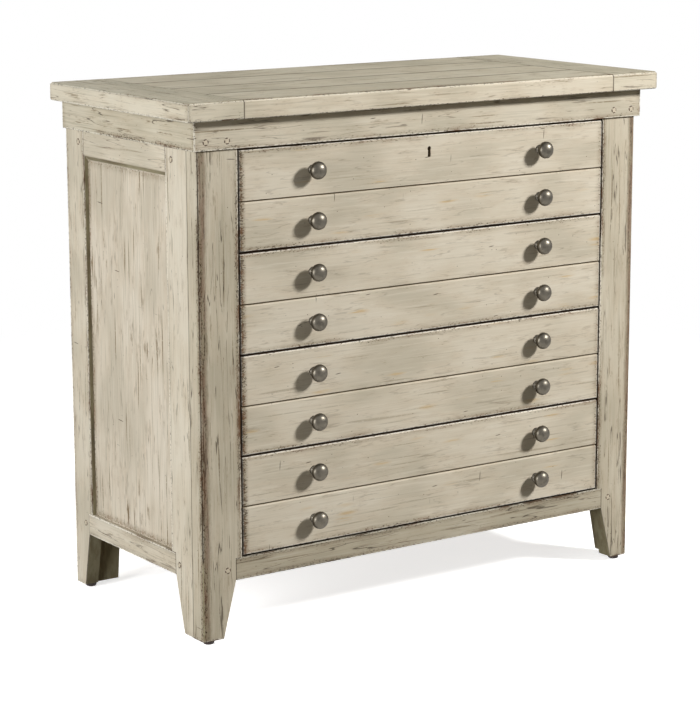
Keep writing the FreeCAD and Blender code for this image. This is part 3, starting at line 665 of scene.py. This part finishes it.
class Board:
    """Where one board lies, which way its grain runs and which of its sides are glued or show."""

    def __init__(self, bm, timber, glued):
        self.box = box_of([vert.co for vert in bm.verts])
        longest = longest_axis(*self.box)
        self.order = [longest] + [i for i in range(3) if i != longest]
        self.low = self.box[0] + Vector(timber.hidden)
        self.high = self.box[1] - Vector(timber.hidden)
        self.glued = glued
        self.outer = timber.outer or [sign + axis for sign in "-+" for axis in AXES]

    def distance(self, spot, side):
        """How far a point is inside the board from a side such as -X."""
        i = AXES[side[1]]
        return spot[i] - self.low[i] if side[0] == "-" else self.high[i] - spot[i]

    def is_glued(self, edge):
        """True for an edge that lies in a glued side, where the boards meet in a hairline."""
        return any(all(abs(self.distance(vert.co, side)) < HAIRLINE for vert in edge.verts)
                   for side in self.glued)

    def round_edges(self, bm, width):
        """Rounds the edges that aren't glued, and keeps the board inside its own box."""
        edges = [edge for edge in bm.edges if len(edge.link_faces) == 2
                 and edge.calc_face_angle(0.0) > ROUND_ANGLE and not self.is_glued(edge)]
        bmesh.ops.bevel(bm, geom=edges, offset=width, offset_type="OFFSET", segments=ROUND_STEPS,
                        profile=0.5, affect="EDGES", clamp_overlap=True, loop_slide=False)
        bmesh.ops.triangulate(bm, faces=[face for face in bm.faces if len(face.verts) > 4])
        low, high = self.box
        for vert in bm.verts:
            vert.co = Vector([min(max(vert.co[i], low[i]), high[i]) for i in range(3)])

    def flags(self, sign, sides):
        """1 for each side of one sign that is among sides, in grain order."""
        return Vector([1.0 if sign + "XYZ"[i] in sides else 0.0 for i in self.order])

    def mark(self, bm, seed):
        """Writes what the paint needs to know on every face corner, in millimetres.

        Each number is even over a board or changes evenly along it, so long faces carry it truly.
        """
        even = {"glued_low": self.flags("-", self.glued), "glued_high": self.flags("+", self.glued),
                "outer_low": self.flags("-", self.outer), "outer_high": self.flags("+", self.outer)}
        layers = [bm.loops.layers.float_vector.new(name)
                  for name in ("board_place", "from_low", "from_high", *even)]
        for face in bm.faces:
            for loop in face.loops:
                spot = loop.vert.co
                from_low = Vector([(spot[i] - self.low[i]) / MM for i in self.order])
                from_high = Vector([(self.high[i] - spot[i]) / MM for i in self.order])
                for layer, value in zip(layers, (from_low + seed, from_low, from_high, *even.values())):
                    loop[layer] = value


def dressed_boards(timbers, edge, paint, **choices):
    """Copies of boards with rounded edges, in a paint of painted_wood's that knows where they are."""
    material = painted_wood(paint, **choices)
    for timber in timbers:
        node = timber.node
        rng = random.Random(sum(ord(c) * (i + 1) for i, c in enumerate(node)))
        axis, levels, touching = timber.split
        joined = bmesh.new()
        for count, bm in enumerate(boards_of(node, axis, levels)):
            glued = list(timber.glued)
            if touching:
                glued += ["-" + axis] * (count > 0) + ["+" + axis] * (count < len(levels))
            board = Board(bm, timber, glued)
            board.round_edges(bm, edge)
            board.mark(bm, Vector([rng.uniform(0.0, SEED_SPAN) for _ in range(3)]))
            part = bpy.data.meshes.new("board")
            bm.to_mesh(part)
            bm.free()
            joined.from_mesh(part)
            bpy.data.meshes.remove(part)
        mesh = smooth_mesh(joined, node + "_dressed", material)
        piece = new_piece(node + "_dressed", mesh, body_of(node), slot_of(node), node)
        even = piece.modifiers.new("Even shading", "WEIGHTED_NORMAL")
        even.mode = "FACE_AREA"
        even.keep_sharp = True


def islands_of(node):
    """The low and high corner of each separate solid in a node."""
    bm = bmesh.new()
    bm.from_mesh(frame["nodes"][node].data)
    bmesh.ops.remove_doubles(bm, verts=bm.verts, dist=1.0 / MICRONS)
    seen = set()
    boxes = []
    for start in bm.verts:
        stack = [start]
        points = []
        while stack:
            vert = stack.pop()
            if vert not in seen:
                seen.add(vert)
                points.append(vert.co.copy())
                stack += [edge.other_vert(vert) for edge in vert.link_edges]
        if points:
            boxes.append(box_of(points))
    bm.free()
    return boxes


def turned_piece(bm, profile, foot, axis, segments):
    """Adds a turned form to bm, from (radius, height) pairs with axis up from foot, and gives its faces."""
    turn = Vector((0.0, 0.0, 1.0)).rotation_difference(Vector(axis)).to_matrix().to_4x4()
    move = Matrix.Translation(foot) @ turn
    angles = [2.0 * math.pi * i / segments for i in range(segments)]
    rings = []
    for radius, height in profile:
        ring = [(radius * math.cos(a), radius * math.sin(a)) for a in angles] if radius else [(0.0, 0.0)]
        rings.append([bm.verts.new(move @ Vector((x, y, height))) for x, y in ring])
    faces = []
    for low, high in zip(rings, rings[1:]):
        for i in range(segments):
            j = (i + 1) % segments
            quad = (low[i % len(low)], low[j % len(low)], high[j % len(high)], high[i % len(high)])
            corners = list(dict.fromkeys(quad))
            if len(corners) > 2:
                faces.append(bm.faces.new(corners))
    return faces + [bm.faces.new(ring) for ring in (rings[0], rings[-1]) if len(ring) > 2]


def turned_node(node, profile, axis, segments, material):
    """Stands a turned form, its profile in millimetres, in the place of each solid of a node."""
    bm = bmesh.new()
    profile = [(radius * MM, height * MM) for radius, height in profile]
    for low, high in islands_of(node):
        centre = (low + high) / 2.0
        foot = [low[i] if way > 0.0 else high[i] if way < 0.0 else centre[i]
                for i, way in enumerate(axis)]
        turned_piece(bm, profile, foot, axis, segments)
    bmesh.ops.recalc_face_normals(bm, faces=bm.faces)
    mesh = smooth_mesh(bm, node + "_turned", material)
    new_piece(node + "_turned", mesh, body_of(node), slot_of(node), node)


class CHEST_OT_top(bpy.types.Operator):
    """Dress the planks and the cross ends of the top"""

    bl_idname = "chest.top"
    bl_label = "Top"

    def execute(self, context):
        sizes = context.scene.chest_sizes
        low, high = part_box("top_planks")
        width = (high.y - low.y) / PLANKS
        levels = tuple(low.y + width * i for i in range(1, PLANKS))
        planks = Timber("top_planks", glued="-X +X", hidden=(sizes.tongue, 0.0, 0.0),
                        split=("Y", levels, True))
        # The upper tints of the planks and the cross ends are painted shade that darkens the top's face
        # that looks up
        dressed_boards([planks], sizes.top_edge, "Worn paint on the top planks", wear=0.75, arris=1.3,
                       streaky=0.9, cracks=0.2, low_soil=0.0, high_soil=0.0, side_soil=0.8, seams=1.6,
                       broad=2.0, tint=(0.97, 0.97, 0.97), upper=(0.85, 0.865, 0.84))
        ends = both_sides(Timber("top_end_left", glued="+X"))
        dressed_boards(ends, sizes.top_edge, "Worn paint on the top's cross ends", arris=1.3,
                       side_soil=0.5, tint=(0.97, 0.985, 0.99), upper=(0.80, 0.81, 0.78))
        return {"FINISHED"}


class CHEST_OT_case_boards(bpy.types.Operator):
    """Dress the frieze, the legs, the rails, the side panels and the back frame"""

    bl_idname = "chest.case_boards"
    bl_label = "Case boards"

    def execute(self, context):
        sizes = context.scene.chest_sizes
        posts = both_sides(Timber("post_front_left", glued="+Y +Z", outer="-Y -X"))
        dressed_boards(posts, sizes.board_edge, "Worn paint on the front posts", wear=1.2, low_soil=0.1,
                       high_soil=0.1, side_soil=0.8, corner=1.0, foot=sizes.foot / MM,
                       tint=(0.84, 0.84, 0.83))
        self.frames(sizes)
        self.friezes_and_rail(sizes)
        groove = (0.0, sizes.panel_groove, sizes.panel_groove)
        panels = both_sides(Timber("side_panel_left", hidden=groove))
        dressed_boards(panels, sizes.board_edge, "Streaked paint on the side panels", arris=0.0,
                       streaky=1.6, dashed=0.6, cracks=0.4, low_soil=0.5, side_soil=0.6, pale=0.8,
                       tint=(1.0, 1.0, 1.03))
        return {"FINISHED"}

    @staticmethod
    def frames(sizes):
        """The frames of both sides and of the back, in one paint."""
        stiles = both_sides(Timber("side_stile_left_front", glued="-Y +Z", outer="-X"),
                            Timber("side_stile_left_rear", glued="+Z", outer="-X +Y"))
        lower_and_upper = ("Z", (BETWEEN_RAILS,), False)
        rails = both_sides(Timber("side_rails_left", glued="-Y +Y", hidden=(0.0, sizes.tenon, 0.0),
                                  split=lower_and_upper))
        back = [Timber("back_rails", glued="-X +X +Z", outer="+Y", hidden=(sizes.tenon, 0.0, 0.0),
                       split=lower_and_upper),
                Timber("back_stiles", glued="+Z", outer="+Y", split=("X", (0.0,), False))]
        dressed_boards(stiles + rails + back, sizes.board_edge, "Worn paint on the side frames",
                       wear=0.8, cracks=0.7, low_soil=0.2, high_soil=0.2, seams=0.8,
                       foot=sizes.foot / MM, pale=0.7, tint=(0.99, 1.0, 1.02))

    @staticmethod
    def friezes_and_rail(sizes):
        front = [Timber("frieze_front", glued="+Z")]
        dressed_boards(front, sizes.board_edge, "Worn paint on the front frieze", wear=0.85,
                       cracks=0.7, side_soil=0.45, tint=(0.93, 0.94, 0.95))
        sides = both_sides(Timber("frieze_left", glued="+Z"))
        # The dark tint is painted shade, for the shadow of the top's overhang on the side friezes
        dressed_boards(sides, sizes.board_edge, "Smeared paint with painted shade on the side friezes", streaky=1.6,
                       side_soil=0.9, tint=(0.86, 0.87, 0.86))
        rail = Timber("bottom_front_rail", glued="-X +X", outer="-Y -Z", hidden=(sizes.tenon, 0.0, 0.0))
        # The dark tint is painted shade: the bottom rail is made darker than the case above it
        dressed_boards([rail], sizes.board_edge, "Worn paint and painted shade on the bottom rail", wear=1.2,
                       side_soil=0.6, seams=1.6, tint=(0.73, 0.73, 0.71))


class CHEST_OT_drawer_fronts(bpy.types.Operator):
    """Dress the four scored drawer fronts"""

    bl_idname = "chest.drawer_fronts"
    bl_label = "Drawer fronts"

    def execute(self, context):
        fronts = [Timber("drawer_%d_front" % drawer, outer="-Y") for drawer in DRAWERS]
        dressed_boards(fronts, context.scene.chest_sizes.drawer_edge, "Worn paint on the drawers",
                       wear=0.8, arris=1.3, streaky=0.55, dashed=0.5, cracks=0.3, low_soil=1.0,
                       high_soil=0.35, side_soil=0.55, groove=4.2, tint=(0.95, 0.955, 0.97))
        return {"FINISHED"}


class CHEST_OT_knobs(bpy.types.Operator):
    """Turn the sixteen mushroom knobs"""

    bl_idname = "chest.knobs"
    bl_label = "Knobs"

    def execute(self, context):
        metal = worn_metal("Burnished pewter", context.scene.chest_colours.pewter, 0.30)
        radius, rim = KNOB_STEM[-1]
        angles = [math.radians(90.0 * step / KNOB_CAP_STEPS) for step in range(1, KNOB_CAP_STEPS)]
        cap = [(radius * math.cos(a), rim + (KNOB_TIP - rim) * math.sin(a)) for a in angles]
        profile = [*KNOB_STEM, *cap, (0.0, KNOB_TIP)]
        for drawer in DRAWERS:
            turned_node("drawer_%d_knobs" % drawer, profile, (0.0, -1.0, 0.0),
                        context.scene.chest_sizes.knob_segments, metal)
        return {"FINISHED"}


class CHEST_OT_pegs(bpy.types.Operator):
    """Make the wooden pegs with the worn ring round each"""

    bl_idname = "chest.pegs"
    bl_label = "Pegs"

    def execute(self, context):
        sizes = context.scene.chest_sizes
        bm = bmesh.new()
        ring = bm.loops.layers.float_vector.new("ring")
        for low, high in islands_of("pegs"):
            centre = (low + high) / 2.0
            axis = longest_axis(low, high)
            outward = Vector((0.0, 0.0, 0.0))
            outward[axis] = 1.0 if centre[axis] > 0.0 else -1.0
            face = centre.copy()
            face[axis] = high[axis] if centre[axis] > 0.0 else low[axis]
            profile = self.profile(sizes, (high - low)[axis])
            faces = turned_piece(bm, profile, face, outward, PEG_SEGMENTS)
            self.mark_ring(faces, ring, centre, axis, sizes.peg_radius / MM - PEG_RIM)
        bmesh.ops.recalc_face_normals(bm, faces=bm.faces)
        mesh = smooth_mesh(bm, "pegs_dressed", peg_paint(context.scene.chest_colours))
        new_piece("pegs_dressed", mesh, "case", slot_of("pegs"), "pegs")
        return {"FINISHED"}

    @staticmethod
    def profile(sizes, size):
        """A peg from its hidden end to its rounded face at 0, with the ring on the wood round it."""
        wood = -PEG_PROUD * MM
        radius = sizes.peg_radius
        ring = sizes.peg_ring
        return [(radius, -(size + wood)), (radius, wood - 0.05 * MM), (radius + ring, wood - 0.02 * MM),
                (radius + ring * 0.75, wood + 0.06 * MM), (radius, wood + 0.05 * MM),
                (radius - 0.1 * MM, -0.18 * MM), (radius - 0.45 * MM, -0.06 * MM),
                (radius - 1.4 * MM, -0.01 * MM), (radius - 1.6 * MM, 0.0), (0.0, 0.0)]

    @staticmethod
    def mark_ring(faces, layer, centre, axis, inner):
        """Writes how far each face corner is from its peg's middle, and 1 on faces beyond inner."""
        plane = [i for i in range(3) if i != axis]
        for face in faces:
            aways = [[(loop.vert.co[i] - centre[i]) / MM for i in plane] for loop in face.loops]
            dark = 1.0 if min(math.hypot(*away) for away in aways) > inner else 0.0
            for loop, away in zip(face.loops, aways):
                loop[layer] = Vector((*away, dark))


class CHEST_OT_glides(bpy.types.Operator):
    """Turn the round glides under the feet"""

    bl_idname = "chest.glides"
    bl_label = "Glides"

    def execute(self, context):
        plastic = moulded_plastic("Moulded glide", context.scene.chest_colours.glide)
        turned_node("glides", GLIDE, (0.0, 0.0, 1.0), GLIDE_SEGMENTS, plastic)
        return {"FINISHED"}


class CHEST_OT_drawer_boxes(bpy.types.Operator):
    """Finish the dovetailed drawer boxes and their bottoms"""

    bl_idname = "chest.drawer_boxes"
    bl_label = "Drawer boxes"

    def execute(self, context):
        hues = context.scene.chest_colours
        finishes = {"sides": grained_wood("Drawer sides", hues.bare_wood, "Y", lacquer=1.0),
                    "ends": grained_wood("Drawer ends", hues.bare_wood, "X", lacquer=1.0),
                    "bottom": grained_wood("Drawer bottoms", hues.ply, "X", coarse=PLY_GRAIN)}
        for drawer in DRAWERS:
            for part, finish in finishes.items():
                finish_node("drawer_%d_%s" % (drawer, part), finish)
        return {"FINISHED"}


class CHEST_OT_inner_wood(bpy.types.Operator):
    """Finish the hidden rail, the slide blocks, the back panel and the dust bottom"""

    bl_idname = "chest.inner_wood"
    bl_label = "Inner wood"

    def execute(self, context):
        hues = context.scene.chest_colours
        finish_node("top_front_rail", grained_wood("Top rail", hues.soft_wood, "X"))
        finish_node("slide_mounts", grained_wood("Slide blocks", hues.soft_wood, "Y"))
        finish_node("back_panel", grained_wood("Back panel", hues.ply, "Z", coarse=PLY_GRAIN))
        finish_node("bottom_panel", grained_wood("Dust bottom", hues.ply, "X", coarse=PLY_GRAIN))
        return {"FINISHED"}


class CHEST_OT_slides(bpy.types.Operator):
    """Finish the drawer slides and the knob screws"""

    bl_idname = "chest.slides"
    bl_label = "Slides"

    def execute(self, context):
        zinc = context.scene.chest_colours.zinc
        steel = worn_metal("Plated steel", zinc, 0.30, brushed=(1.2, 60.0, 1.2))
        screw = worn_metal("Plated screws", zinc, 0.36)
        finish_node("slide_outer_members", steel)
        for drawer in DRAWERS:
            finish_node("drawer_%d_slide_inner_members" % drawer, steel)
            finish_node("drawer_%d_slide_cages" % drawer, steel)
            finish_node("drawer_%d_knob_screws" % drawer, screw)
        return {"FINISHED"}


class CHEST_OT_lock(bpy.types.Operator):
    """Finish the lock's case and bolt"""

    bl_idname = "chest.lock"
    bl_label = "Lock"

    def execute(self, context):
        brass = worn_metal("Dull brass", context.scene.chest_colours.brass, 0.38)
        finish_node("lock_case", brass)
        finish_node("lock_bolt", brass)
        return {"FINISHED"}


class CHEST_OT_stage(bpy.types.Operator):
    """Lay the floor, set the lamps and place the camera"""

    bl_idname = "chest.stage"
    bl_label = "Stage"

    def execute(self, context):
        scene = context.scene
        self.floor(scene)
        self.world(scene)
        for name, (place, power, width, colour) in LAMPS.items():
            self.lamp(scene, name, place, power, width, colour)
        self.camera(scene)
        scene.view_settings.view_transform = "Standard"
        return {"FINISHED"}

    @staticmethod
    def floor(scene):
        """A pale floor that takes the chest's shadow near it and is plain white far off."""
        bm = bmesh.new()
        bmesh.ops.create_grid(bm, x_segments=FLOOR_CELLS, y_segments=FLOOR_CELLS, size=FLOOR_REACH)
        r = Recipe("Pale floor")
        place = r.place()
        x, y, _ = place.parts()
        far = ((x * x + y * y) ** 0.5).rise(700.0, 2300.0)
        speckle = r.noise(place, (40.0, 40.0, 40.0), detail=3.0)
        tone = r.mix(speckle, scene.chest_colours.floor, (0.86, 0.86, 0.86))
        lit = r.shader("BsdfDiffuse", tone, FLOOR_ROUGHNESS)
        bounce = r.shader("BsdfDiffuse", FLOOR_BOUNCE, FLOOR_ROUGHNESS)
        white = r.shader("Emission", WHITE, 1.0)
        near = r.shader("AddShader", lit, r.shader("Emission", WHITE, FLOOR_GLOW))
        both = r.node("ShaderNodeMixShader", {}, {0: far, 1: near, 2: white})
        r.finish(r.node("ShaderNodeMixShader", {}, {0: r.seen(), 1: bounce, 2: both}))
        mesh = bpy.data.meshes.new("floor")
        bm.to_mesh(mesh)
        bm.free()
        mesh.materials.append(r.material)
        floor = bpy.data.objects.new("floor", mesh)
        scene.collection.objects.link(floor)

    @staticmethod
    def world(scene):
        """A dim room that shows as white."""
        scene.world = bpy.data.worlds.new("Studio")
        r = Recipe("Studio", scene.world)
        dim = r.shader("Background", ROOM_LIGHT, ROOM_STRENGTH)
        white = r.shader("Background", WHITE, 1.0)
        r.finish(r.node("ShaderNodeMixShader", {}, {0: r.seen(), 1: dim, 2: white}))

    @staticmethod
    def lamp(scene, name, place, power, width, colour):
        """Hangs a round lamp that points at the chest's middle."""
        light = bpy.data.lights.new(name, "AREA")
        light.energy = power
        light.shape = "DISK"
        light.size = width
        light.color = colour
        lamp = bpy.data.objects.new(name, light)
        lamp.location = place
        aim = Vector(LAMP_AIM) - Vector(place)
        lamp.rotation_euler = aim.to_track_quat("-Z", "Y").to_euler()
        scene.collection.objects.link(lamp)

    @staticmethod
    def camera(scene):
        lens = bpy.data.cameras.new("Camera")
        lens.lens = scene.chest_sizes.camera_lens
        lens.clip_start = CAMERA_NEAR
        camera = bpy.data.objects.new("Camera", lens)
        camera.location = CAMERA_PLACE
        camera.rotation_euler = [math.radians(angle) for angle in CAMERA_TURN]
        scene.collection.objects.link(camera)
        scene.camera = camera


OPERATORS = (CHEST_OT_top, CHEST_OT_case_boards, CHEST_OT_drawer_fronts, CHEST_OT_knobs, CHEST_OT_pegs,
             CHEST_OT_glides, CHEST_OT_drawer_boxes, CHEST_OT_inner_wood, CHEST_OT_slides, CHEST_OT_lock,
             CHEST_OT_stage)


class CHEST_PT_panel(bpy.types.Panel):
    """Lists the chest's pieces, sizes and colours"""

    bl_idname = "CHEST_PT_panel"
    bl_label = "Bachelor chest"
    bl_space_type = "VIEW_3D"
    bl_region_type = "UI"
    bl_category = "Chest"

    def draw(self, context):
        column = self.layout.column(align=True)
        for operator in OPERATORS:
            column.operator(operator.bl_idname)
        for group in (context.scene.chest_sizes, context.scene.chest_colours):
            box = self.layout.box()
            for key in group.__annotations__:
                box.prop(group, key)


CLASSES = (ChestSizes, ChestColours) + OPERATORS + (CHEST_PT_panel,)


def register():
    for item in CLASSES:
        bpy.utils.register_class(item)
    bpy.types.Scene.chest_sizes = PointerProperty(type=ChestSizes)
    bpy.types.Scene.chest_colours = PointerProperty(type=ChestColours)


def unregister():
    del bpy.types.Scene.chest_colours
    del bpy.types.Scene.chest_sizes
    for item in reversed(CLASSES):
        bpy.utils.unregister_class(item)


def main():
    register()
    for operator in OPERATORS:
        group, name = operator.bl_idname.split(".")
        getattr(getattr(bpy.ops, group), name)()


if __name__ == "__main__":
    main()
